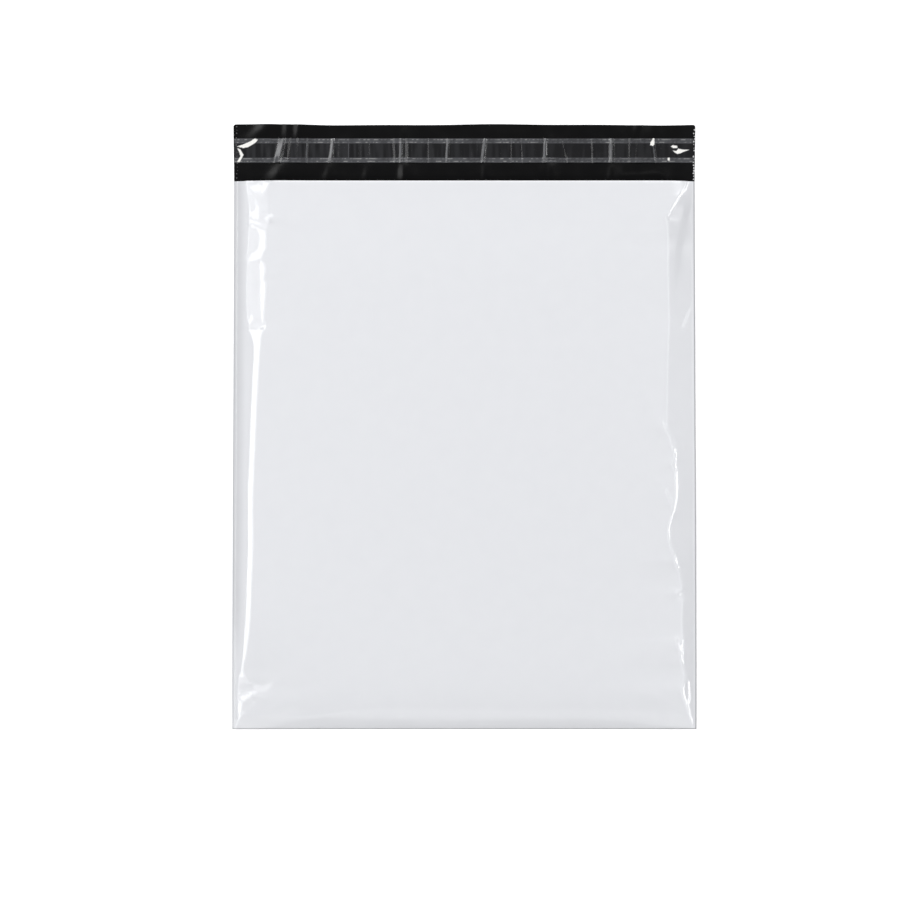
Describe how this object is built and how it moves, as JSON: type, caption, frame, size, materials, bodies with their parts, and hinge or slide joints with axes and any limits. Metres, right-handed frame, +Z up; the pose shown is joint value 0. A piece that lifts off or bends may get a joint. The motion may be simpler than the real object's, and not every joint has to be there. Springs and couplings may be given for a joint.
{
  "type": "poly mailer bag",
  "caption": "Flat plastic mailing bag, white outside and black inside, with side welds, an open mouth and a lip carrying an adhesive strip under a clear liner.",
  "frame": {"origin": "middle of the underside of the bounding box, on the surface that the bag's back lies on", "axes": "+X across the bag, +Y from the bottom fold to the lip, +Z up out of the front panel"},
  "size_m": [0.5, 0.6514, 0.0138],
  "materials": {
    "film": "coextruded polyethylene film, white with a soft gloss outside and gloss black inside",
    "adhesive": "clear hot-melt glue with a faint warm tint",
    "liner": "thin clear glossy liner film, finely wrinkled"
  },
  "bodies": {
    "root": {"mailer_film": "film", "adhesive_strip": "adhesive", "release_liner": "liner"}
  },
  "joints": []
}
